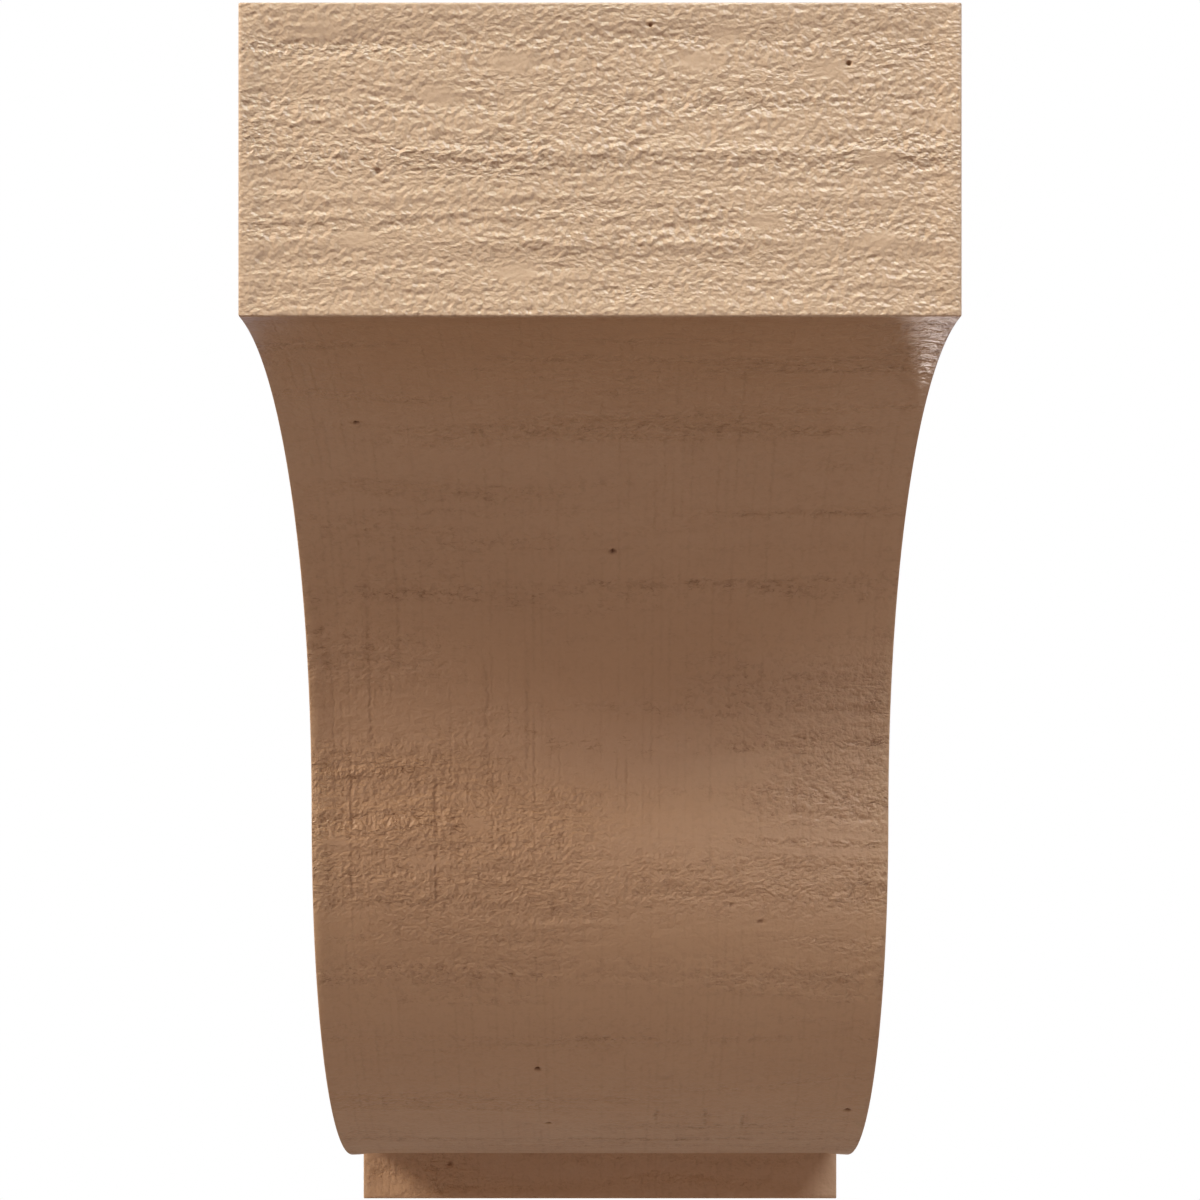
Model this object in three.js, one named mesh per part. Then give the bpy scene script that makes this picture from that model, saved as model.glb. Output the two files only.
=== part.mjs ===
// A cast urethane corbel: a square block over a concave cove, a convex belly and a short foot.
// Millimetres, +Z up. The flat back stands on the plane y = 0, and the front looks along -Y.
// The origin is the centre of the back, where the corbel meets the wall.

import * as THREE from 'three';

// Sizes that can be set one by one
const WIDTH = 152.4;
const BLOCK_HEIGHT = 66.2;
const ARC_RADIUS = 110;
const FOOT_DROP = 18.6;
const UNDERSIDE_LEDGE = 10;
const FOOT_THICKNESS = 24;

// Steps along each quarter circle of the profile
const ARC_STEPS = 40;

// Sizes that follow from those above
const SWEEP = 2 * ARC_RADIUS;
const HEIGHT = BLOCK_HEIGHT + SWEEP + FOOT_DROP;
const PROJECTION = SWEEP + UNDERSIDE_LEDGE + FOOT_THICKNESS;
const TOP = HEIGHT / 2;
const BOTTOM = -HEIGHT / 2;

// Tan primer on rigid foam
const primedUrethane = new THREE.MeshStandardMaterial( {
	name: 'primed_urethane',
	color: 0xb89a7c,
	roughness: 0.62,
	metalness: 0
} );

// The side view, drawn with y along the shape's x axis and z along its y axis.
// The cove and the belly are quarter circles of one radius that meet on a vertical tangent.
function sideProfile() {

	const front = - PROJECTION;
	const blockBottom = TOP - BLOCK_HEIGHT;
	const turn = blockBottom - ARC_RADIUS;
	const bellyBottom = blockBottom - SWEEP;
	const footFace = - FOOT_THICKNESS;

	const profile = new THREE.Shape();
	profile.moveTo( 0, TOP );
	profile.lineTo( front, TOP );
	profile.lineTo( front, blockBottom );
	profile.absarc( front, turn, ARC_RADIUS, Math.PI / 2, 0, true );
	profile.absarc( front + SWEEP, turn, ARC_RADIUS, Math.PI, 3 * Math.PI / 2, false );
	profile.lineTo( footFace, bellyBottom );
	profile.lineTo( footFace, BOTTOM );
	profile.lineTo( 0, BOTTOM );
	profile.closePath();
	return profile;

}

// The profile runs straight through the whole width, as one solid.
// The turn of a quarter about X and then about Y lays the drawing's axes on Y and Z.
function corbelSolid() {

	const geometry = new THREE.ExtrudeGeometry( sideProfile(), {
		depth: WIDTH,
		curveSegments: ARC_STEPS / 2,
		bevelEnabled: false
	} );
	const corbel = new THREE.Mesh( geometry, primedUrethane );
	corbel.name = 'corbel';
	corbel.rotation.set( Math.PI / 2, Math.PI / 2, 0 );
	corbel.position.x = - WIDTH / 2;
	return corbel;

}

const bracket = new THREE.Group();
bracket.name = 'urethane_corbel';
bracket.add( corbelSolid() );

export default bracket;
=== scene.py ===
"""Finished looks of a cast urethane corbel: rough-sawn relief under a tan primer, with its studio.

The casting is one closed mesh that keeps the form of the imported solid. Its faces are pressed in by about
half a millimetre, as the mould of a rough-sawn timber leaves them, and the finest grain is in the primer.
"""

import logging
import math
from dataclasses import dataclass
from enum import Enum

import bmesh
import bpy
from bmesh.types import BMEdge, BMesh, BMFace, BMVert
from bpy.types import Material, Node, NodeSocket, NodeTree, Object
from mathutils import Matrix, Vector, noise


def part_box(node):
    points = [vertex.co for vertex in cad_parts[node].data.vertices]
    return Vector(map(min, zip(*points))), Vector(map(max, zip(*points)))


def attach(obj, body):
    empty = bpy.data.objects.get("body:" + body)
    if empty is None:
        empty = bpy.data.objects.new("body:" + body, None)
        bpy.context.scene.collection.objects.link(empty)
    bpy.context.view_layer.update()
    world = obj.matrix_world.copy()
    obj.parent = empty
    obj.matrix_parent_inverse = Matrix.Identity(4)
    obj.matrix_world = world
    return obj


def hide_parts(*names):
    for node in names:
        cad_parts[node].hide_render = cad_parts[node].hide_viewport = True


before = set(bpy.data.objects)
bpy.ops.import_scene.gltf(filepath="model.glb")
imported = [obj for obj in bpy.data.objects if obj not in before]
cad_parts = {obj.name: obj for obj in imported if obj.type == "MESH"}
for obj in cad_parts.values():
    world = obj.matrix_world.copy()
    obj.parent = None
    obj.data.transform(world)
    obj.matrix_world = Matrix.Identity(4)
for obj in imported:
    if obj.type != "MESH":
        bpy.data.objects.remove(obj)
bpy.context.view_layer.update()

log = logging.getLogger("corbel")

MM = 0.001
NODE = "corbel"
BODY = "root"
GRAIN_MAP = "grain"
# Per-vertex relief shares; the crease and pit shares also set painted shade in the primer.
MASKS = "relief_masks"

Triple = tuple[float, float, float]
Colour = tuple[float, float, float, float]


class Zone(Enum):
    """A face of the casting, in the order of its outline. The two flat sides lie between them."""

    TOP = "top"
    BLOCK = "block"
    COVE = "cove"
    BELLY = "belly"
    LEDGE = "ledge"
    FOOT = "foot"
    UNDERSIDE = "underside"
    BACK = "back"


ROWS = {
    Zone.TOP: 134,
    Zone.BLOCK: 165,
    Zone.COVE: 172,
    Zone.BELLY: 172,
    Zone.LEDGE: 9,
    Zone.FOOT: 20,
    Zone.UNDERSIDE: 12,
    Zone.BACK: 32,
}


@dataclass(frozen=True)
class Straight:
    """A straight stretch of the side outline, from one (y, z) point to the next, in metres."""

    zone: Zone
    start: Vector
    end: Vector

    @property
    def length(self) -> float:
        """Length of the stretch."""
        return (self.end - self.start).length

    def locate(self, point: Vector) -> tuple[float, float]:
        """Finds a point's place on the stretch.

        Args:
            point: The point, as (y, z).

        Returns:
            The distance along the stretch, and the distance from it with its ends counted.
        """
        along = (self.end - self.start).normalized()
        run = (point - self.start).dot(along)
        nearest = self.start + along * min(max(run, 0.0), self.length)
        return run, (point - nearest).length

    def at(self, run: float) -> Vector:
        """The (y, z) point at a distance along the stretch."""
        return self.start + (self.end - self.start).normalized() * run

    def normal(self, point: Vector) -> Vector:
        """Direction out of the solid, as (y, z), which is the same at every point."""
        along = (self.end - self.start).normalized()
        return Vector((along.y, -along.x))

    def draw(self, mesh: BMesh, corner: BMVert) -> BMVert:
        """Draws the stretch as one edge and returns its far vertex."""
        grown = bmesh.ops.extrude_vert_indiv(mesh, verts=[corner])["verts"]
        step = self.end - self.start
        bmesh.ops.translate(mesh, verts=grown, vec=(0.0, step.x, step.y))
        return grown[0]


@dataclass(frozen=True)
class Arc:
    """A round stretch of the side outline, in metres and radians.

    A hollow arc curves into the solid, as the cove does.
    """

    zone: Zone
    centre: Vector
    radius: float
    start_angle: float
    turn: float
    hollow: bool

    @property
    def length(self) -> float:
        """Length of the stretch."""
        return self.radius * abs(self.turn)

    def at(self, run: float) -> Vector:
        """The (y, z) point at a distance along the stretch."""
        angle = self.start_angle + self.turn * run / self.length
        return self.centre + Vector((math.cos(angle), math.sin(angle))) * self.radius

    def locate(self, point: Vector) -> tuple[float, float]:
        """Finds a point's place on the stretch.

        Args:
            point: The point, as (y, z).

        Returns:
            The distance along the stretch, and the distance from it with its ends counted.
        """
        reach = point - self.centre
        angle = math.atan2(reach.y, reach.x) - self.start_angle
        angle = (angle + math.pi) % math.tau - math.pi
        share = angle / self.turn
        held = self.start_angle + self.turn * min(max(share, 0.0), 1.0)
        nearest = self.centre + Vector((math.cos(held), math.sin(held))) * self.radius
        return share * self.length, (point - nearest).length

    def normal(self, point: Vector) -> Vector:
        """Direction out of the solid at a point, as (y, z)."""
        out = (point - self.centre).normalized()
        return -out if self.hollow else out

    def draw(self, mesh: BMesh, corner: BMVert) -> BMVert:
        """Draws the stretch by a spin of its first vertex and returns its last one."""
        swept = bmesh.ops.spin(
            mesh,
            geom=[corner],
            cent=(corner.co.x, self.centre.x, self.centre.y),
            axis=(1.0, 0.0, 0.0),
            dvec=(0.0, 0.0, 0.0),
            angle=self.turn,
            steps=ROWS[self.zone],
            use_duplicate=False,
        )
        last = [part for part in swept["geom_last"] if isinstance(part, BMVert)][0]
        last.co = (corner.co.x, *self.at(self.length))
        return last


@dataclass(frozen=True)
class Outline:
    """The side outline of the casting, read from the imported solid, as stretches that close on themselves."""

    width: float
    stretches: tuple[Straight | Arc, ...]

    @classmethod
    def from_frame(cls) -> "Outline":
        """Reads the block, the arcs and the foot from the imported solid's corners."""
        low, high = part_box(NODE)
        corners = [vertex.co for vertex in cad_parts[NODE].data.vertices]
        touch = 0.01 * MM
        block_bottom = min(c.z for c in corners if abs(c.y - low.y) < touch)
        foot_face = min(c.y for c in corners if abs(c.z - low.z) < touch)
        belly_bottom = max(c.z for c in corners if abs(c.y - foot_face) < touch)
        radius = (block_bottom - belly_bottom) / 2
        quarter = math.pi / 2
        top_back = high.yz
        top_front = Vector((low.y, high.z))
        block_end = Vector((low.y, block_bottom))
        cove_centre = Vector((low.y, block_bottom - radius))
        belly_centre = Vector((low.y + 2 * radius, block_bottom - radius))
        belly_end = Vector((low.y + 2 * radius, belly_bottom))
        foot_top = Vector((foot_face, belly_bottom))
        foot_front = Vector((foot_face, low.z))
        foot_back = Vector((high.y, low.z))
        stretches = (
            Straight(Zone.TOP, top_back, top_front),
            Straight(Zone.BLOCK, top_front, block_end),
            Arc(Zone.COVE, cove_centre, radius, quarter, -quarter, True),
            Arc(Zone.BELLY, belly_centre, radius, math.pi, quarter, False),
            Straight(Zone.LEDGE, belly_end, foot_top),
            Straight(Zone.FOOT, foot_top, foot_front),
            Straight(Zone.UNDERSIDE, foot_front, foot_back),
            Straight(Zone.BACK, foot_back, top_back),
        )
        return cls(high.x - low.x, stretches)

    def nearest(self, point: Vector) -> Straight | Arc:
        """The stretch that a (y, z) point lies on."""
        return min(self.stretches, key=lambda stretch: stretch.locate(point)[1])

    def place(self, x: float, developed: float) -> Vector:
        """The point of the front at x across the width and a developed length from its top edge."""
        stretch = [part for part in self.stretches[1:] if self.before(part.zone) <= developed][-1]
        return Vector((x, *stretch.at(developed - self.before(stretch.zone))))

    def before(self, zone: Zone) -> float:
        """Developed length from the front's top edge to the start of a stretch, below zero on the top."""
        number = [stretch.zone for stretch in self.stretches].index(zone)
        total = -self.stretches[0].length
        for stretch in self.stretches[:number]:
            total += stretch.length
        return total


def smooth_step(low: float, high: float, value: float) -> float:
    """Rises smoothly from 0 at low to 1 at high."""
    share = min(max((value - low) / (high - low), 0.0), 1.0)
    return share * share * (3.0 - 2.0 * share)


@dataclass(frozen=True)
class Wave:
    """Smooth noise of one size: its wavelengths along and across the grain, in mm, and its own offsets."""

    along: float
    across: float
    layer: float
    start: float = 0.0

    def at(self, along: float, across: float, seed: float) -> float:
        """The noise at a place, from about -1 to 1."""
        place = (along / self.along + self.start, across / self.across, seed + self.layer)
        return noise.noise(Vector(place))


@dataclass(frozen=True)
class Patch:
    """A calm oval on the rough face: its centre and half sizes along and across the grain, in mm.

    Strength 1 leaves nothing of the grain in its middle.
    """

    along: float
    across: float
    half_along: float = 5.0
    half_across: float = 2.6
    strength: float = 0.75

    def share(self, along: float, across: float) -> float:
        """How calm a place is, from 0 outside the oval to 1 in its middle."""
        reach = math.hypot(
            (along - self.along) / self.half_along,
            (across - self.across) / self.half_across,
        )
        return self.strength * (1.0 - smooth_step(0.35, 1.25, reach))


@dataclass(frozen=True)
class Band:
    """A rough band along the grain of the front, in mm down the developed front and across the width."""

    across: float
    half: float
    strength: float
    start: float = -90.0
    end: float = 90.0

    def share(self, along: float, across: float) -> float:
        """How rough the band makes a place, from 0 outside it to its strength in its middle."""
        fade = 10.0
        ends = smooth_step(self.start - fade, self.start + fade, along)
        ends *= 1.0 - smooth_step(self.end - fade, self.end + fade, along)
        return self.strength * ends * (1.0 - smooth_step(0.15, 1.2, abs(across - self.across) / self.half))


@dataclass(frozen=True)
class Pit:
    """A small blow hole in the front: its place along and across the grain and its radius, in mm.

    A hole of strength 1 is deepest and gets the most painted shade, and a weaker one is a soft dent.
    """

    along: float
    across: float
    radius: float
    strength: float = 1.0

    def share(self, along: float, across: float) -> float:
        """How deep in the hole a place is, from 0 on open ground to 1 on its floor."""
        reach = math.hypot(along - self.along, across - self.across) / self.radius
        return self.strength * (1.0 - smooth_step(0.45, 1.1, reach))


@dataclass(frozen=True)
class Ply:
    """A low ridge along the front's grain, where one sawn layer stands over the next, in mm."""

    across: float
    half: float
    height: float

    def lift(self, across: float) -> float:
        """How far the ridge stands out at a place, and less than zero for a hollow."""
        reach = (across - self.across) / self.half
        return self.height * math.exp(-reach * reach)


@dataclass(frozen=True)
class Ground:
    """The relief at one place: its depth in mm and its shares of crease, calm, roughness and pit."""

    depth: float
    crease: float
    calm: float
    rough: float
    pit: float


@dataclass(frozen=True)
class SawnRelief:
    """The rough-sawn relief that is in the mesh, as depths under the solid's faces in mm.

    The marks named first have places of their own on the front. The waves give the sizes of the rest.
    """

    patches: tuple[Patch, ...]
    bands: tuple[Band, ...]
    pits: tuple[Pit, ...]
    plies: tuple[Ply, ...]
    sink: float = 0.48
    swell: float = 0.13
    wrinkle: float = 0.16
    pebble: float = 0.40
    block_share: float = 0.7
    body_share: float = 0.65
    fissure: float = 0.12
    pit: float = 0.75
    lean: float = 4.0
    sway: float = 0.8
    loose: float = 0.45
    lean_wave: Wave = Wave(46.0, 24.0, 3.1)
    sway_wave: Wave = Wave(12.0, 7.0, 5.3)
    loose_wave: Wave = Wave(60.0, 5.5, 7.7)
    swell_wave: Wave = Wave(34.0, 3.0, 9.1)
    wrinkle_wave: Wave = Wave(4.8, 1.9, 11.0)
    pebble_wave: Wave = Wave(1.5, 1.1, 19.0, start=40.0)
    thread_wave: Wave = Wave(26.0, 3.2, 23.0)
    gate_wave: Wave = Wave(4.0, 4.0, 29.0)
    ply_wave: Wave = Wave(24.0, 9.0, 31.0)

    def ground(self, along: float, across: float, seed: float, fine: float) -> Ground:
        """Works out the relief at one place.

        Args:
            along: Distance along the grain, in mm.
            across: Distance across the grain, in mm.
            seed: Keeps the faces apart, and is 0 on the front, where the named places count.
            fine: Share of the finest wrinkles that the local mesh can carry.

        Returns:
            The relief.
        """
        bend = self.lean_wave.at(along, across, seed) * self.lean
        bend += self.sway_wave.at(along, across, seed) * self.sway
        placed = calm = ridge = pit = 0.0
        if seed == 0.0:
            placed = max(band.share(along, across + 0.5 * bend) for band in self.bands)
            calm = max(patch.share(along, across) for patch in self.patches)
            ridge = sum(ply.lift(across + 0.1 * bend) for ply in self.plies)
            pit = max(hole.share(along, across) for hole in self.pits)
        loose = smooth_step(0.0, 0.5, self.loose_wave.at(along, across + bend, seed))
        rough = min(placed + self.loose * loose, 1.0)
        swell = self.swell_wave.at(along, across + bend, seed) * self.swell * (0.5 + 2.0 * rough)
        wrinkle = self.wrinkle_wave.at(along, across + bend, seed) * self.wrinkle
        pebble = self.pebble_wave.at(along, across + bend, seed) * self.pebble * fine
        share = self.body_share + (self.block_share - self.body_share) * fine
        gain = (0.25 + 0.45 * fine) + (0.95 - 0.55 * fine) * rough
        lift = (wrinkle * share + pebble) * gain * (1.0 - 0.92 * calm)
        ridge *= 1.0 + 0.8 * self.ply_wave.at(along, across, seed)
        thread = 1.0 - abs(self.thread_wave.at(along, across + 0.4 * bend, seed)) * 10.0
        gate = smooth_step(0.25, 0.6, self.gate_wave.at(along, across, seed) + 0.5 * rough)
        crease = max(thread, 0.0) * gate * (1.0 - calm)
        depth = self.sink + swell - ridge - lift + crease * self.fissure + pit * self.pit
        return Ground(depth, crease, calm, rough, pit)


def add_to_scene(name: str, data: bpy.types.ID) -> Object:
    """Adds an object to the scene, at the origin, with a mesh, light or camera of its own."""
    made = bpy.data.objects.new(name, data)
    bpy.context.scene.collection.objects.link(made)
    return made


def finished(mesh: BMesh, name: str) -> Object:
    """Turns a finished mesh into an object of the scene."""
    data = bpy.data.meshes.new(name)
    mesh.to_mesh(data)
    mesh.free()
    return add_to_scene(name, data)


@dataclass(frozen=True)
class Casting:
    """The one solid casting: its outline, its mesh pitch and its relief, in metres unless it says mm."""

    outline: Outline
    relief: SawnRelief
    arris: float = 0.35 * MM
    wide_columns: int = 40
    front_splits: int = 2
    block_splits: int = 3
    side_pitch_z: float = 2.0 * MM
    side_pitch_y: float = 3.4 * MM
    pit_cuts: int = 2
    pit_rim: float = 0.9
    fade_relief: float = 0.6 * MM
    fade_sink: float = 7.0 * MM
    side_seed: float = 40.0
    flat_seed: float = 70.0
    side_shift: float = 0.7

    @property
    def half(self) -> float:
        """Half of the width."""
        return self.outline.width / 2

    def build(self) -> Object:
        """Builds the casting as one closed mesh object at the origin."""
        mesh = bmesh.new()
        self._draw_section(mesh)
        self._round_arrises(mesh)
        self._divide_rows(mesh)
        self._divide_columns(mesh)
        self._divide_sides(mesh)
        self._refine_pits(mesh)
        self._press_relief(mesh)
        self._lay_grain(mesh)
        self._close(mesh)
        return finished(mesh, "corbel_casting")

    def _draw_section(self, mesh: BMesh) -> None:
        """Draws the side outline, pulls it across the width and closes both ends."""
        first = self.outline.stretches[0].start
        corner = mesh.verts.new((-self.half, first.x, first.y))
        for stretch in self.outline.stretches:
            corner = stretch.draw(mesh, corner)
        bmesh.ops.remove_doubles(mesh, verts=mesh.verts[:], dist=0.01 * MM)
        pulled = bmesh.ops.extrude_edge_only(mesh, edges=mesh.edges[:])["geom"]
        moved = [part for part in pulled if isinstance(part, BMVert)]
        bmesh.ops.translate(mesh, verts=moved, vec=(self.outline.width, 0.0, 0.0))
        rims = [edge for edge in mesh.edges if edge.is_boundary]
        bmesh.ops.edgeloop_fill(mesh, edges=rims)
        bmesh.ops.recalc_face_normals(mesh, faces=mesh.faces[:])

    def _round_arrises(self, mesh: BMesh) -> None:
        """Takes the sharpness off every outer arris."""
        sharp = math.radians(30.0)
        arrises = [edge for edge in mesh.edges if edge.calc_face_angle_signed(0.0) > sharp]
        bmesh.ops.bevel(
            mesh,
            geom=arrises,
            offset=self.arris,
            offset_type="OFFSET",
            segments=2,
            profile=0.5,
            affect="EDGES",
            clamp_overlap=True,
            material=-1,
        )

    def _divide_rows(self, mesh: BMesh) -> None:
        """Divides each straight stretch into its rows."""
        for stretch in self.outline.stretches:
            if isinstance(stretch, Arc):
                continue
            runs = []
            for edge in mesh.edges:
                ends = [vertex.co.yz for vertex in edge.verts]
                near = all(stretch.locate(end)[1] < 2 * self.arris for end in ends)
                if near and (ends[1] - ends[0]).length > stretch.length - 3 * self.arris:
                    runs.append(edge)
            bmesh.ops.subdivide_edges(mesh, edges=runs, cuts=ROWS[stretch.zone] - 1)

    def _across(self, mesh: BMesh, zones: tuple[Zone, ...], shortest: float) -> list[BMEdge]:
        """Lists the edges that run across the width on some faces.

        Args:
            mesh: The mesh.
            zones: The faces.
            shortest: Leaves out edges shorter than this, in metres.

        Returns:
            The edges.
        """
        found = []
        for edge in mesh.edges:
            start, end = (vertex.co for vertex in edge.verts)
            off_line = abs(end.y - start.y) + abs(end.z - start.z)
            if abs(end.x - start.x) < shortest or off_line > self.arris / 4:
                continue
            if self.outline.nearest(start.yz).zone in zones:
                found.append(edge)
        return found

    def _divide_columns(self, mesh: BMesh) -> None:
        """Divides the width into columns, finer on the front and finest on the block."""
        front = (Zone.BLOCK, Zone.COVE, Zone.BELLY, Zone.LEDGE, Zone.FOOT)
        column = self.outline.width
        for zones, splits in (
            (tuple(Zone), self.wide_columns),
            (front, self.front_splits),
            (front[:1], self.block_splits),
        ):
            edges = self._across(mesh, zones, column * 0.5)
            bmesh.ops.subdivide_edges(mesh, edges=edges, cuts=splits - 1)
            column /= splits

    def _divide_sides(self, mesh: BMesh) -> None:
        """Cuts both flat sides into a grid of small faces."""
        fewest = ROWS[Zone.BLOCK]
        sides = [face for face in mesh.faces if len(face.verts) > fewest]
        strips = self._slice(mesh, sides, 2, self.side_pitch_z)
        self._slice(mesh, strips, 1, self.side_pitch_y)

    def _slice(self, mesh: BMesh, faces: list[BMFace], axis: int, pitch: float) -> list[BMFace]:
        """Cuts faces by evenly spaced planes, from the solid's low end to its high end.

        Args:
            mesh: The mesh.
            faces: The faces to cut.
            axis: 1 for planes across Y, 2 for planes across Z.
            pitch: Spacing of the planes, rounded to fit.

        Returns:
            The cut faces.
        """
        low, high = (corner[axis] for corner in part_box(NODE))
        count = round((high - low) / pitch)
        across = Vector([float(place == axis) for place in range(3)])
        waiting = list(faces)
        done = []
        for number in range(1, count):
            place = low + (high - low) * number / count
            parts = set(waiting)
            for face in waiting:
                parts.update(face.edges)
                parts.update(face.verts)
            cut = bmesh.ops.bisect_plane(
                mesh,
                geom=list(parts),
                dist=0.12 * MM,
                plane_co=across * place,
                plane_no=across,
            )["geom"]
            made = [part for part in cut if isinstance(part, BMFace)]
            waiting = [face for face in made if face.calc_center_median()[axis] > place]
            done += [face for face in made if face.calc_center_median()[axis] <= place]
        return done + waiting

    def _refine_pits(self, mesh: BMesh) -> None:
        """Divides the faces round each blow hole, so that the mesh can carry its rim."""
        reaches = []
        for pit in self.relief.pits:
            middle = self.outline.place(pit.along * MM, pit.across * MM)
            reaches.append((middle, (pit.radius + self.pit_rim) * MM))
        close = set()
        for face in mesh.faces:
            centre = face.calc_center_median()
            if any((centre - middle).length < reach for middle, reach in reaches):
                close.update(face.edges)
        bmesh.ops.subdivide_edges(mesh, edges=list(close), cuts=self.pit_cuts, use_grid_fill=True)

    def _press_relief(self, mesh: BMesh) -> None:
        """Presses the relief into every face but the back, and keeps its shares for the material, which uses
        them for bump, roughness and painted shade in creases and pits.
        """
        masks = mesh.verts.layers.float_color.new(MASKS)
        pushes = []
        for vertex in mesh.verts:
            vertex[masks] = (0.0, 0.0, 0.0, 0.0)
            x = vertex.co.x
            point = vertex.co.yz
            seed = fine = 0.0
            edge_room = self.half - abs(x)
            if edge_room < 0.01 * MM:
                room = min(stretch.locate(point)[1] for stretch in self.outline.stretches)
                along, across = point.x / MM, point.y / MM
                seed = self.side_seed + math.copysign(9.0, x)
                inward = Vector((-math.copysign(1.0, x), 0.0, 0.0))
            else:
                stretch = self.outline.nearest(point)
                if stretch.zone is Zone.BACK:
                    continue
                run = stretch.locate(point)[0]
                room = min(edge_room, self._corner_room(stretch, run))
                along, across = x / MM, (self.outline.before(stretch.zone) + run) / MM
                fine = float(stretch.zone is Zone.BLOCK)
                if stretch.zone in (Zone.TOP, Zone.UNDERSIDE):
                    seed = self.flat_seed
                out = stretch.normal(point)
                inward = Vector((0.0, -out.x, -out.y))
            room -= self.arris
            if room <= 0.0:
                continue
            ground = self.relief.ground(along, across, seed, fine)
            held = smooth_step(0.0, self.fade_relief, room)
            sunk = self.relief.sink * smooth_step(0.0, self.fade_sink, room)
            depth = max(sunk + (ground.depth - self.relief.sink) * held, 0.0)
            pushes.append((vertex, inward * (depth * MM)))
            vertex[masks] = (ground.crease * held, ground.calm, ground.rough, ground.pit)
        for vertex, push in pushes:
            vertex.co += push

    def _corner_room(self, stretch: Straight | Arc, run: float) -> float:
        """Distance along the outline from a place on a stretch to the nearest corner that it ends in.

        Args:
            stretch: The stretch.
            run: Distance along it.

        Returns:
            The distance, where the arcs and the ledge pass into each other without a corner.
        """
        flowing = (Zone.COVE, Zone.BELLY, Zone.LEDGE)
        if stretch.zone not in flowing:
            return min(run, stretch.length - run)
        start = self.outline.before(flowing[0])
        end = self.outline.before(Zone.FOOT)
        place = self.outline.before(stretch.zone) + run
        return min(place - start, end - place)

    def _lay_grain(self, mesh: BMesh) -> None:
        """Gives every face its grain coordinates: metres along the grain, then across it."""
        grain = mesh.loops.layers.uv.new(GRAIN_MAP)
        for face in mesh.faces:
            flat = abs(face.normal.x) > 0.9
            stretch = self.outline.nearest(face.calc_center_median().yz)
            start = self.outline.before(stretch.zone)
            for loop in face.loops:
                place = loop.vert.co
                if flat:
                    along = place.y + math.copysign(self.side_shift, place.x)
                    loop[grain].uv = (along, place.z + self.side_shift)
                else:
                    run = stretch.locate(place.yz)[0]
                    loop[grain].uv = (place.x, start + run)

    def _close(self, mesh: BMesh) -> None:
        """Smooths the shading, keeps hollow corners crisp and leaves no face with over four sides."""
        many = [face for face in mesh.faces if len(face.verts) > 4]
        bmesh.ops.triangulate(mesh, faces=many)
        mesh.normal_update()
        for face in mesh.faces:
            face.smooth = True
            face.material_index = int(face.normal.y > 0.9)
        crisp = math.radians(50.0)
        for edge in mesh.edges:
            edge.smooth = abs(edge.calc_face_angle_signed(0.0)) < crisp


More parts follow.
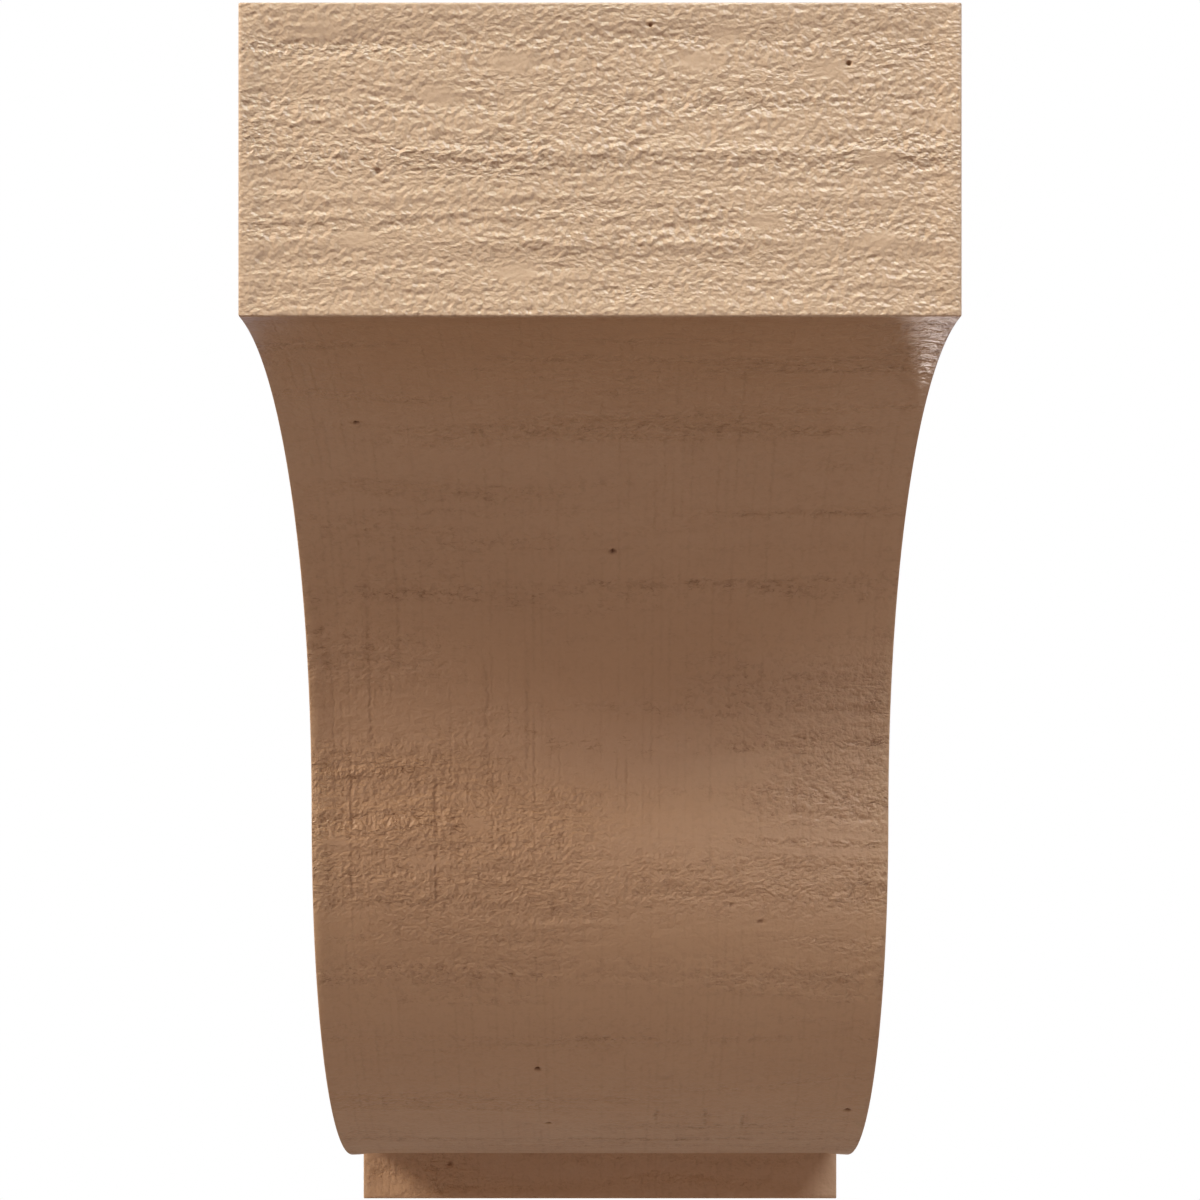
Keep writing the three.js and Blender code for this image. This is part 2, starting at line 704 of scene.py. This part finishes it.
class NodeSheet:
    """A small helper that adds nodes to a node tree and links them."""

    def __init__(self, tree: NodeTree) -> None:
        """Holds the tree that the nodes go into."""
        self.tree = tree

    def add(self, kind: str, inputs: dict[str | int, object] | None = None, **settings: object) -> Node:
        """Adds a node.

        Args:
            kind: The node's type name.
            inputs: Values or output sockets for its inputs.
            settings: Properties of the node.

        Returns:
            The node.
        """
        node = self.tree.nodes.new(kind)
        for name, value in settings.items():
            setattr(node, name, value)
        for name, value in (inputs or {}).items():
            self.feed(node.inputs[name], value)
        return node

    def feed(self, socket: NodeSocket, value: object) -> None:
        """Links an output socket to an input, or sets the input's value."""
        if isinstance(value, NodeSocket):
            self.tree.links.new(value, socket)
        else:
            socket.default_value = value

    def math(self, operation: str, *values: object, clamp: bool = False) -> NodeSocket:
        """Adds a Math node and returns its output."""
        node = self.add("ShaderNodeMath", dict(enumerate(values)), operation=operation, use_clamp=clamp)
        return node.outputs[0]

    def times(self, product: object, *others: object) -> NodeSocket:
        """Multiplies values with each other, one after the other."""
        for other in others:
            product = self.math("MULTIPLY", product, other)
        return product

    def line(self, value: object, slope: object, start: object) -> NodeSocket:
        """Multiplies a value by a slope and adds a start."""
        return self.math("MULTIPLY_ADD", value, slope, start)

    def vector(self, operation: str, *values: object, scale: float | None = None) -> NodeSocket:
        """Adds a Vector Math node and returns its output."""
        node = self.add("ShaderNodeVectorMath", dict(enumerate(values)), operation=operation)
        if scale is not None:
            node.inputs["Scale"].default_value = scale
        return node.outputs["Value" if operation == "DOT_PRODUCT" else "Vector"]

    def join(self, x: object = 0.0, y: object = 0.0, z: object = 0.0) -> NodeSocket:
        """Joins three values to a vector."""
        return self.add("ShaderNodeCombineXYZ", {"X": x, "Y": y, "Z": z}).outputs[0]

    def split(self, vector: object) -> bpy.types.bpy_prop_collection:
        """Splits a vector into its outputs X, Y and Z."""
        return self.add("ShaderNodeSeparateXYZ", {"Vector": vector}).outputs

    def ramp(
        self,
        value: object,
        low: object,
        high: object,
        start: float = 0.0,
        end: float = 1.0,
    ) -> NodeSocket:
        """Maps a value smoothly from one range to another."""
        return self.add(
            "ShaderNodeMapRange",
            {"Value": value, "From Min": low, "From Max": high, "To Min": start, "To Max": end},
            interpolation_type="SMOOTHSTEP",
        ).outputs["Result"]

    def noise(self, vector: object, detail: object = 2.0, roughness: float = 0.5) -> NodeSocket:
        """Adds flat noise over a vector given in wavelengths and returns it, from 0 to 1."""
        return self.add(
            "ShaderNodeTexNoise",
            {"Vector": vector, "Scale": 1.0, "Detail": detail, "Roughness": roughness},
            noise_dimensions="2D",
        ).outputs["Fac"]

    def mottle(self, place: object, size: Triple, detail: float, roughness: float = 0.5) -> NodeSocket:
        """Adds flat noise with its wavelengths along and across the grain given in mm."""
        return self.noise(self.vector("DIVIDE", place, size), detail, roughness)

    def mix_colour(self, share: object, first: object, second: object) -> NodeSocket:
        """Mixes two colours and returns the result."""
        inputs = {0: share, 6: first, 7: second}
        return self.add("ShaderNodeMix", data_type="RGBA", clamp_factor=True, inputs=inputs).outputs[2]


@dataclass(frozen=True)
class Socket:
    """One named socket of a node group and its value when nothing is linked."""

    name: str
    kind: str = "NodeSocketFloat"
    value: object = None


PLACE = Socket("Place", "NodeSocketVector")


class Effect:
    """A shader node group that is built once and placed in each material with its own values."""

    name: str = ""
    inputs: tuple[Socket, ...] = ()
    outputs: tuple[Socket, ...] = ()

    def tree(self) -> NodeTree:
        """Returns the group, building it the first time."""
        made = bpy.data.node_groups.get(self.name)
        if made is not None:
            return made
        group = bpy.data.node_groups.new(self.name, "ShaderNodeTree")
        for in_out, sockets in (("INPUT", self.inputs), ("OUTPUT", self.outputs)):
            for socket in sockets:
                item = group.interface.new_socket(name=socket.name, in_out=in_out, socket_type=socket.kind)
                if socket.value is not None:
                    item.default_value = socket.value
        sheet = NodeSheet(group)
        given = sheet.add("NodeGroupInput").outputs
        result = sheet.add("NodeGroupOutput").inputs
        for name, value in self.draw(sheet, given).items():
            sheet.feed(result[name], value)
        return group

    def draw(self, sheet: NodeSheet, given: object) -> dict[str, object]:
        """Draws the group's nodes and returns the sockets for its outputs."""
        raise NotImplementedError

    def place(self, sheet: NodeSheet, place: NodeSocket, **inputs: object) -> bpy.types.bpy_prop_collection:
        """Places the group in a material with its own values and returns its outputs."""
        inputs["Place"] = place
        return sheet.add("ShaderNodeGroup", inputs, node_tree=self.tree()).outputs


class PebbleRelief(Effect):
    """Fine rounded wrinkles with sharp creases between them, longest along the grain, in mm."""

    name = "pebble_relief"
    inputs = (
        PLACE,
        Socket("Along"),
        Socket("Across"),
        Socket("Lean"),
        Socket("Broad", value=0.6),
        Socket("Detail", value=0.9),
    )
    outputs = (Socket("Height"), Socket("Crease"))

    def draw(self, sheet: NodeSheet, given: object) -> dict[str, object]:
        """Adds two sizes of noise on ground that leans gently to and fro."""
        sway = sheet.math("SUBTRACT", sheet.mottle(given["Place"], (26.0, 11.0, 1.0), 1.0), 0.5)
        lean = sheet.join(y=sheet.times(sway, given["Lean"]))
        size = sheet.join(given["Along"], given["Across"], 1.0)
        grid = sheet.vector("DIVIDE", sheet.vector("ADD", given["Place"], lean), size)
        grit = sheet.math("SUBTRACT", sheet.noise(grid, given["Detail"]), 0.5)
        wider = sheet.noise(sheet.vector("MULTIPLY_ADD", grid, (0.45, 0.45, 1.0), (7.3, 3.1, 0.0)), 0.0)
        height = sheet.line(sheet.math("SUBTRACT", wider, 0.5), given["Broad"], grit)
        return {"Height": height, "Crease": sheet.ramp(height, -0.02, -0.24)}


class SawKerfs(Effect):
    """Narrow marks that a saw leaves across the grain, evenly spaced and broken up, in mm."""

    name = "saw_kerfs"
    inputs = (PLACE, Socket("Pitch"))
    outputs = (Socket("Depth"),)

    def draw(self, sheet: NodeSheet, given: object) -> dict[str, object]:
        """Draws a groove at every pitch, of its own depth, that fades in and out along its run."""
        parts = sheet.split(given["Place"])
        wander = sheet.noise(sheet.vector("MULTIPLY", given["Place"], (0.35, 0.5, 1.0)), 2.0)
        along = sheet.line(wander, 0.6, sheet.math("DIVIDE", parts["X"], given["Pitch"]))
        whole = sheet.math("FLOOR", along)
        off = sheet.math("ABSOLUTE", sheet.math("SUBTRACT", sheet.math("SUBTRACT", along, whole), 0.5))
        groove = sheet.ramp(off, 0.28, 0.02)
        own = sheet.add("ShaderNodeTexWhiteNoise", {"W": whole}, noise_dimensions="1D").outputs["Value"]
        run = sheet.join(sheet.times(whole, 3.7), sheet.math("DIVIDE", parts["Y"], 14.0))
        here = sheet.ramp(sheet.noise(run, 2.0, 0.6), 0.36, 0.62)
        strength = sheet.times(here, sheet.ramp(own, 0.1, 1.0, 0.25, 1.0))
        return {"Depth": sheet.times(groove, strength)}


class LoneKerf(Effect):
    """One deeper saw mark across the grain, at its own place, in mm."""

    name = "lone_kerf"
    inputs = (PLACE, Socket("At"), Socket("From"), Socket("To"), Socket("Strength"))
    outputs = (Socket("Depth"),)

    def draw(self, sheet: NodeSheet, given: object) -> dict[str, object]:
        """Draws a thin line that wavers a little and fades at both ends."""
        parts = sheet.split(given["Place"])
        waver = sheet.mottle(given["Place"], (9.0, 5.0, 1.0), 2.0, 0.6)
        off = sheet.math("SUBTRACT", sheet.line(waver, 1.6, parts["X"]), given["At"])
        line = sheet.ramp(sheet.math("ABSOLUTE", sheet.math("SUBTRACT", off, 0.8)), 0.9, 0.05)
        begin = sheet.ramp(parts["Y"], given["From"], sheet.math("ADD", given["From"], 5.0))
        end = sheet.ramp(parts["Y"], given["To"], sheet.math("SUBTRACT", given["To"], 5.0))
        broken = sheet.ramp(sheet.mottle(given["Place"], (3.0, 2.2, 1.0), 1.0), 0.34, 0.6, 0.35, 1.0)
        here = sheet.times(begin, end, broken)
        return {"Depth": sheet.times(line, here, given["Strength"])}


class GrainCracks(Effect):
    """Thin broken cracks that run along the grain."""

    name = "grain_cracks"
    inputs = (PLACE,)
    outputs = (Socket("Depth"),)

    def draw(self, sheet: NodeSheet, given: object) -> dict[str, object]:
        """Draws the middle line of a stretched noise and breaks it up."""
        thin = sheet.mottle(given["Place"], (6.0, 1.9, 1.0), 2.5, 0.6)
        line = sheet.ramp(sheet.math("ABSOLUTE", sheet.math("SUBTRACT", thin, 0.5)), 0.026, 0.004)
        broken = sheet.mottle(given["Place"], (5.0, 3.0, 1.0), 1.0)
        return {"Depth": sheet.times(line, sheet.ramp(broken, 0.48, 0.62))}


class PrimerToneAndPaintedShade(Effect):
    """The primer's colour with its slow drift in tone and the painted shade in its low places."""

    name = "primer_tone_and_painted_shade"
    inputs = (
        PLACE,
        Socket("Colour", "NodeSocketColor"),
        Socket("Shade", "NodeSocketColor"),
        Socket("PaintedShade"),
        Socket("Drift"),
    )
    outputs = (Socket("Colour", "NodeSocketColor"),)

    def draw(self, sheet: NodeSheet, given: object) -> dict[str, object]:
        """Mixes the primer with its shade colour by the drift and by the painted shade of the low places."""
        broad = sheet.mottle(given["Place"], (60.0, 18.0, 1.0), 3.0, 0.55)
        fine = sheet.mottle(given["Place"], (1.4, 0.9, 1.0), 2.0, 0.6)
        drift = sheet.times(sheet.math("ADD", broad, sheet.times(fine, 0.5)), given["Drift"])
        # Painted shade: the low places' share pulls the primer towards its shade colour, on top of the random
        # drift.
        share = sheet.math("ADD", drift, given["PaintedShade"], clamp=True)
        return {"Colour": sheet.mix_colour(share, given["Colour"], given["Shade"])}


@dataclass(frozen=True)
class Finish:
    """A primed urethane skin. Heights and depths are in mm, colours are linear."""

    name: str
    colour: Colour
    shade: Colour
    pebble: float
    ior: float

    def material(self) -> Material:
        """Builds the material."""
        made = bpy.data.materials.new(self.name)
        made.use_nodes = True
        made.node_tree.nodes.clear()
        sheet = NodeSheet(made.node_tree)
        grain = sheet.add("ShaderNodeUVMap", uv_map=GRAIN_MAP).outputs["UV"]
        look = self.look(sheet, sheet.vector("SCALE", grain, scale=1.0 / MM))
        relief = {"Strength": 1.0, "Distance": MM, "Height": look.pop("Height")}
        look["Normal"] = sheet.add("ShaderNodeBump", relief).outputs["Normal"]
        shader = sheet.add("ShaderNodeBsdfPrincipled", {"IOR": self.ior, **look})
        sheet.add("ShaderNodeOutputMaterial", {"Surface": shader.outputs["BSDF"]})
        return made

    def look(self, sheet: NodeSheet, place: NodeSocket) -> dict[str, NodeSocket]:
        """Draws the nodes for the shader's colour and roughness and for the height in mm."""
        raise NotImplementedError


@dataclass(frozen=True)
class Kerf:
    """A deeper saw mark: its place along the grain, its run across the grain in mm and its strength."""

    at: float
    start: float
    end: float
    strength: float


@dataclass(frozen=True)
class RoughSawnPrimer(Finish):
    """The tan primer over the rough-sawn faces, finer on the block than on the body below, with painted light
    that makes the block's primer paler and whiter.

    The painted shades are the shares of shade colour painted into the pebbles' creases, cracks, saw marks,
    fissures and pits.
    """

    name: str = "rough_sawn_primer"
    colour: Colour = (0.600, 0.425, 0.285, 1.0)
    shade: Colour = (0.235, 0.140, 0.085, 1.0)
    pebble: float = 0.42
    ior: float = 1.55
    # Painted light: a paler, whiter primer on the block, standing in for the brighter light it catches.
    block_colour_with_painted_light: Colour = (0.625, 0.462, 0.325, 1.0)
    block_end: float = 66.0
    body_start: float = 72.0
    kerf: float = 0.09
    crack: float = 0.10
    roughness: float = 0.36
    # Shares of painted shade in the low places of each kind of mark.
    pebble_painted_shade: float = 0.16
    crack_painted_shade: float = 0.36
    kerf_painted_shade: float = 0.10
    fissure_painted_shade: float = 0.12
    pit_painted_shade: float = 0.75
    lone_kerfs: tuple[Kerf, ...] = ()

    def look(self, sheet: NodeSheet, place: NodeSocket) -> dict[str, NodeSocket]:
        """Draws the pebbles, saw marks and cracks, held back where the relief's masks call for it, with
        painted shade in their low places.
        """
        body = sheet.ramp(sheet.split(place)["Y"], self.block_end, self.body_start)
        broad = sheet.times(body, 0.75)
        detail = sheet.line(body, 1.1, 0.9)
        pebbles = PebbleRelief().place(
            sheet, place, Along=1.15, Across=0.95, Lean=3.0, Broad=broad, Detail=detail
        )
        kerfs = SawKerfs().place(sheet, place, Pitch=2.2)
        cracks = GrainCracks().place(sheet, place)
        masks = sheet.add("ShaderNodeAttribute", attribute_name=MASKS).outputs
        parts = sheet.add("ShaderNodeSeparateColor", {"Color": masks["Color"]}).outputs
        spread = sheet.times(parts["Blue"], sheet.line(body, 0.50, 0.45))
        gain = sheet.math("ADD", spread, sheet.line(body, -0.42, 0.70))
        gain = sheet.times(gain, sheet.line(parts["Green"], -0.9, 1.0))
        sawn = sheet.times(kerfs["Depth"], sheet.times(body, 0.65))
        for kerf in self.lone_kerfs:
            lone = LoneKerf().place(
                sheet, place, At=kerf.at, From=kerf.start, To=kerf.end, Strength=kerf.strength
            )
            sawn = sheet.math("ADD", sawn, lone["Depth"])
        split = sheet.times(cracks["Depth"], sheet.line(parts["Blue"], 0.85, 0.15))
        split = sheet.times(split, sheet.line(body, 0.65, 0.35))
        height = sheet.times(pebbles["Height"], gain, self.pebble)
        height = sheet.math("SUBTRACT", height, sheet.times(sawn, self.kerf))
        height = sheet.math("SUBTRACT", height, sheet.times(split, self.crack))
        # Painted shade: creases, cracks, saw marks, fissures and pits are darkened towards the shade colour.
        low = sheet.times(pebbles["Crease"], gain, self.pebble_painted_shade)
        tones = ((split, self.crack_painted_shade), (sawn, self.kerf_painted_shade), (parts["Red"], self.fissure_painted_shade))
        for depth, tone in tones:
            low = sheet.math("ADD", low, sheet.times(depth, tone))
        low = sheet.math("ADD", low, sheet.times(masks["Alpha"], self.pit_painted_shade), clamp=True)
        # Painted light: the block gets the paler primer, the body the plain one.
        coat = sheet.mix_colour(body, self.block_colour_with_painted_light, self.colour)
        tone = PrimerToneAndPaintedShade().place(sheet, place, Colour=coat, Shade=self.shade, PaintedShade=low, Drift=0.10)
        rough = sheet.ramp(low, 0.0, 0.6, self.roughness, self.roughness + 0.25)
        return {"Base Color": tone["Colour"], "Roughness": rough, "Height": height}


@dataclass(frozen=True)
class MouldBackSkin(Finish):
    """The plainer flat skin on the back, where the mould was closed."""

    name: str = "mould_back_skin"
    colour: Colour = (0.560, 0.400, 0.270, 1.0)
    shade: Colour = (0.300, 0.190, 0.120, 1.0)
    pebble: float = 0.02
    ior: float = 1.46

    def look(self, sheet: NodeSheet, place: NodeSocket) -> dict[str, NodeSocket]:
        """Draws faint pebbles under a drifting tone, with painted shade in their creases."""
        pebbles = PebbleRelief().place(sheet, place, Along=1.5, Across=1.3, Lean=1.0)
        # Painted shade in the pebbles' creases.
        low = sheet.times(pebbles["Crease"], 0.08)
        tone = PrimerToneAndPaintedShade().place(sheet, place, Colour=self.colour, Shade=self.shade, PaintedShade=low, Drift=0.25)
        rough = sheet.ramp(pebbles["Crease"], 0.0, 1.0, 0.5, 0.7)
        height = sheet.times(pebbles["Height"], self.pebble)
        return {"Base Color": tone["Colour"], "Roughness": rough, "Height": height}


@dataclass(frozen=True)
class PaleFloor:
    """The pale studio floor, well below the corbel."""

    drop: float = 1.15
    radius: float = 3.0
    colour: Colour = (0.62, 0.61, 0.60, 1.0)
    brightness: float = 0.72

    def build(self) -> Object:
        """Builds the floor as a round sheet."""
        mesh = bmesh.new()
        bmesh.ops.create_circle(mesh, cap_ends=True, segments=96, radius=self.radius)
        bmesh.ops.translate(mesh, verts=mesh.verts[:], vec=(0.0, 0.0, -self.drop))
        floor = finished(mesh, "studio_floor")
        made = bpy.data.materials.new("pale_floor")
        made.use_nodes = True
        sheet = NodeSheet(made.node_tree)
        shader = made.node_tree.nodes["Principled BSDF"]
        place = sheet.add("ShaderNodeTexCoord").outputs["Object"]
        cloud = sheet.noise(sheet.vector("SCALE", place, scale=2.0), 3.0, 0.5)
        paler = tuple(min(part * 1.06, 1.0) for part in self.colour[:3]) + (1.0,)
        sheet.feed(shader.inputs["Base Color"], sheet.mix_colour(cloud, self.colour, paler))
        shader.inputs["Roughness"].default_value = 0.85
        seen = sheet.add("ShaderNodeLightPath").outputs["Is Camera Ray"]
        shader.inputs["Emission Color"].default_value = (1.0, 1.0, 1.0, 1.0)
        sheet.feed(shader.inputs["Emission Strength"], sheet.math("MULTIPLY", seen, self.brightness))
        floor.data.materials.append(made)
        return floor


@dataclass(frozen=True)
class Lamp:
    """One soft studio lamp, aimed at the corbel.

    Azimuth is in degrees from the front towards +X, and elevation in degrees above the level.
    """

    name: str
    azimuth: float
    elevation: float
    distance: float
    size: float
    power: float
    colour: Triple
    spread: float = 60.0
    sheen_only: bool = False
    aim: Triple = (0.0, -0.12, 0.0)

    def build(self) -> Object:
        """Builds the lamp as an area light."""
        light = bpy.data.lights.new(self.name, "AREA")
        light.shape = "DISK"
        light.size = self.size
        light.energy = self.power
        light.color = self.colour
        light.spread = math.radians(self.spread)
        lamp = add_to_scene(self.name, light)
        azimuth, elevation = math.radians(self.azimuth), math.radians(self.elevation)
        level = math.cos(elevation)
        out = Vector((math.sin(azimuth) * level, -math.cos(azimuth) * level, math.sin(elevation)))
        target = Vector(self.aim)
        lamp.location = target + out * self.distance
        lamp.rotation_euler = out.to_track_quat("Z", "Y").to_euler()
        lamp.visible_camera = False
        lamp.visible_diffuse = not self.sheen_only
        return lamp


@dataclass(frozen=True)
class Studio:
    """The camera, the lamps and the air of light around the corbel."""

    lamps: tuple[Lamp, ...]
    air_glow: Triple = (0.25, 0.14, 0.09)
    front_glow: Triple = (0.24, 0.26, 0.25)
    floor_glow: Triple = (1.89, 2.49, 3.42)
    toe: float = 0.20
    backdrop: Colour = (1.0, 1.0, 1.0, 1.0)
    frame_pixels: float = 1200.0
    focal_pixels: float = 2059.4
    horizon_pixel: float = 725.7
    stand_off: float = 433.7 * MM

    def build(self) -> None:
        """Sets up the camera, the world and every lamp."""
        self._camera()
        self._world()
        for lamp in self.lamps:
            lamp.build()
        self._tone()

    def _tone(self) -> None:
        """Gives the picture a print's tone curve, with a soft toe that deepens the darker tones."""
        view = bpy.context.scene.view_settings
        view.view_transform = "Standard"
        view.use_curve_mapping = True
        curve = view.curve_mapping.curves[3]
        for level in (0.03, 0.08, 0.15, 0.25, 0.40, 0.60, 0.80):
            curve.points.new(level, level * level / (level + self.toe) * (1.0 + self.toe))
        view.curve_mapping.update()

    def _camera(self) -> None:
        """Places a level camera before the middle of the corbel's height, shifted as the photograph is."""
        data = bpy.data.cameras.new("camera")
        data.sensor_width = 36.0
        data.lens = data.sensor_width * self.focal_pixels / self.frame_pixels
        data.shift_y = (self.horizon_pixel - self.frame_pixels / 2) / self.frame_pixels
        data.clip_start = 0.01
        camera = add_to_scene("camera", data)
        low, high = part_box(NODE)
        camera.location = (0.0, low.y - self.stand_off, (low.z + high.z) / 2)
        camera.rotation_euler = (math.pi / 2, 0.0, 0.0)
        bpy.context.scene.camera = camera

    def _world(self) -> None:
        """Makes a white backdrop whose own light on the corbel is a soft dim fill."""
        world = bpy.data.worlds.new("studio")
        world.use_nodes = True
        world.node_tree.nodes.clear()
        sheet = NodeSheet(world.node_tree)
        seen = sheet.add("ShaderNodeLightPath").outputs["Is Camera Ray"]
        way = sheet.add("ShaderNodeTexCoord").outputs["Generated"]
        glow: object = self.air_glow
        for side, colour in (((0.0, -1.0, 0.0), self.front_glow), ((0.0, 0.0, -1.0), self.floor_glow)):
            facing = sheet.math("MAXIMUM", sheet.vector("DOT_PRODUCT", way, side), 0.0)
            tint = sheet.add("ShaderNodeCombineXYZ", {"X": facing, "Y": facing, "Z": facing}).outputs[0]
            glow = sheet.vector("MULTIPLY_ADD", tint, colour, glow)
        fill = sheet.add("ShaderNodeBackground", {"Color": glow, "Strength": 1.0}).outputs[0]
        white = sheet.add("ShaderNodeBackground", {"Color": self.backdrop, "Strength": 1.0}).outputs[0]
        mixed = sheet.add("ShaderNodeMixShader", {0: seen, 1: fill, 2: white}).outputs[0]
        sheet.add("ShaderNodeOutputWorld", {"Surface": mixed})
        bpy.context.scene.world = world


PATCHES = (
    Patch(-59.3, 5.8),
    Patch(-18.6, 12.7),
    Patch(-34.0, 19.9, 5.0, 2.8),
    Patch(-51.5, 49.8),
    Patch(-17.6, 56.9, 5.0, 2.8),
    Patch(26.0, 7.0, 4.5),
    Patch(48.3, 14.0, 5.5),
    Patch(20.5, 12.3, 5.5),
    Patch(58.4, 32.7, 5.0, 2.4),
    Patch(34.4, 45.6, 5.0, 2.4),
    Patch(58.7, 50.0, 5.0, 2.4),
    Patch(-5.0, 192.0, 52.0, 24.0, 0.5),
    Patch(0.0, 221.0, 36.0, 13.0),
    Patch(-69.5, 247.0, 5.0, 3.0, 0.9),
    Patch(-32.5, 241.5, 5.0, 2.8, 0.9),
    Patch(-45.0, 251.0, 7.0, 3.5, 0.6),
)

BANDS = (
    Band(9.0, 2.0, 0.55),
    Band(21.5, 2.2, 0.45),
    Band(31.5, 3.5, 0.8, -90.0, 8.0),
    Band(31.5, 5.0, 0.75, 45.0, 90.0),
    Band(33.0, 3.0, 0.5),
    Band(84.0, 24.0, 1.0, 64.0, 90.0),
    Band(102.0, 1.5, 0.25, -40.0, 60.0),
    Band(126.0, 1.5, 0.2),
    Band(154.2, 1.4, 0.5, -60.0, -5.0),
    Band(155.5, 1.4, 0.5, 20.0, 70.0),
    Band(165.6, 1.2, 0.2),
    Band(176.3, 2.8, 0.7, -20.0, 55.0),
    Band(178.5, 2.4, 0.4, -60.0, -15.0),
    Band(191.7, 1.3, 0.2),
    Band(196.0, 13.0, 0.45, -90.0, -38.0),
    Band(206.0, 13.0, 0.7, 25.0, 90.0),
    Band(220.3, 2.2, 0.9, 35.0, 90.0),
    Band(226.0, 10.0, 0.65, 45.0, 90.0),
    Band(228.0, 10.0, 0.55, -90.0, -15.0),
    Band(236.0, 8.0, 0.9, 40.0, 90.0),
    Band(240.5, 6.5, 1.0, -90.0, -32.0),
    Band(244.0, 20.0, 0.6, -90.0, 0.0),
    Band(246.3, 1.6, 0.9, 35.0, 90.0),
    Band(255.0, 5.5, 0.65, -90.0, -8.0),
    Band(258.0, 10.0, 0.6, 5.0, 90.0),
    Band(262.0, 12.0, 0.4, -60.0, 5.0),
    Band(262.3, 0.8, 0.9, -78.0, -45.0),
    Band(282.5, 6.0, 0.35),
    Band(305.0, 1.5, 0.5),
    Band(348.0, 3.0, 0.6, 0.0, 60.0),
    Band(359.2, 1.8, 0.7),
    Band(431.0, 10.0, 0.6, -64.0, -44.0),
)

PITS = (
    Pit(3.2, 166.2, 0.85),
    Pit(-17.3, 317.0, 0.85),
    Pit(-58.0, 123.8, 0.75),
    Pit(52.5, 12.7, 0.6, 0.8),
    Pit(10.6, 4.7, 0.5, 0.7),
    Pit(-48.5, 429.1, 0.9, 0.45),
    Pit(-14.8, 345.7, 0.65),
    Pit(34.9, 263.1, 0.7, 0.45),
    Pit(42.7, 267.8, 0.7, 0.55),
    Pit(70.3, 337.3, 0.95),
    Pit(-49.2, 23.3, 0.8, 0.3),
    Pit(-46.9, 35.5, 0.8, 0.45),
)

PLIES = (
    Ply(4.8, 1.6, 0.10),
    Ply(20.4, 2.5, -0.14),
    Ply(31.5, 1.5, 0.20),
    Ply(41.0, 1.4, 0.14),
    Ply(45.0, 1.2, 0.11),
    Ply(50.4, 2.6, 0.22),
    Ply(58.8, 2.8, 0.20),
)

LONE_KERFS = (
    Kerf(-65.6, 222.0, 262.0, 1.5),
    Kerf(-60.1, 170.0, 222.0, 1.4),
    Kerf(-43.2, 226.0, 268.0, 1.8),
    Kerf(-29.4, 196.0, 232.0, 1.2),
    Kerf(-18.8, 190.0, 226.0, 1.1),
    Kerf(-52.0, 150.0, 200.0, 1.0),
    Kerf(16.0, 334.0, 350.0, 1.8),
    Kerf(30.0, 334.0, 350.0, 2.2),
    Kerf(41.0, 336.0, 352.0, 1.8),
)

LAMPS = (
    Lamp("key", 0.0, 60.0, 2.4, 0.6, 0.76, (0.69, 1.0, 0.88), spread=40.0),
    Lamp("left", -70.0, 36.0, 2.4, 1.0, 13.6, (1.0, 0.92, 0.84), spread=90.0),
    Lamp("right", 40.0, 54.0, 2.4, 1.6, 13.3, (0.745, 0.85, 1.0), spread=90.0),
    Lamp(
        "low_rear",
        azimuth=173.8,
        elevation=-28.0,
        distance=1.0,
        size=0.10,
        power=0.0105,
        colour=(1.0, 0.93, 0.90),
        spread=14.0,
        sheen_only=True,
        aim=(0.072, -0.235, 0.105),
    ),
)


def main() -> None:
    """Builds the studio and the casting, and reports each piece."""
    logging.basicConfig(level=logging.INFO, format="%(name)s: %(message)s")
    Studio(LAMPS).build()
    PaleFloor().build()
    piece = Casting(Outline.from_frame(), SawnRelief(PATCHES, BANDS, PITS, PLIES)).build()
    piece.data.materials.append(RoughSawnPrimer(lone_kerfs=LONE_KERFS).material())
    piece.data.materials.append(MouldBackSkin().material())
    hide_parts(NODE)
    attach(piece, BODY)
    triangles = sum(len(face.vertices) - 2 for face in piece.data.polygons)
    log.info("%s: %d triangles", piece.name, triangles)


if __name__ == "__main__":
    main()
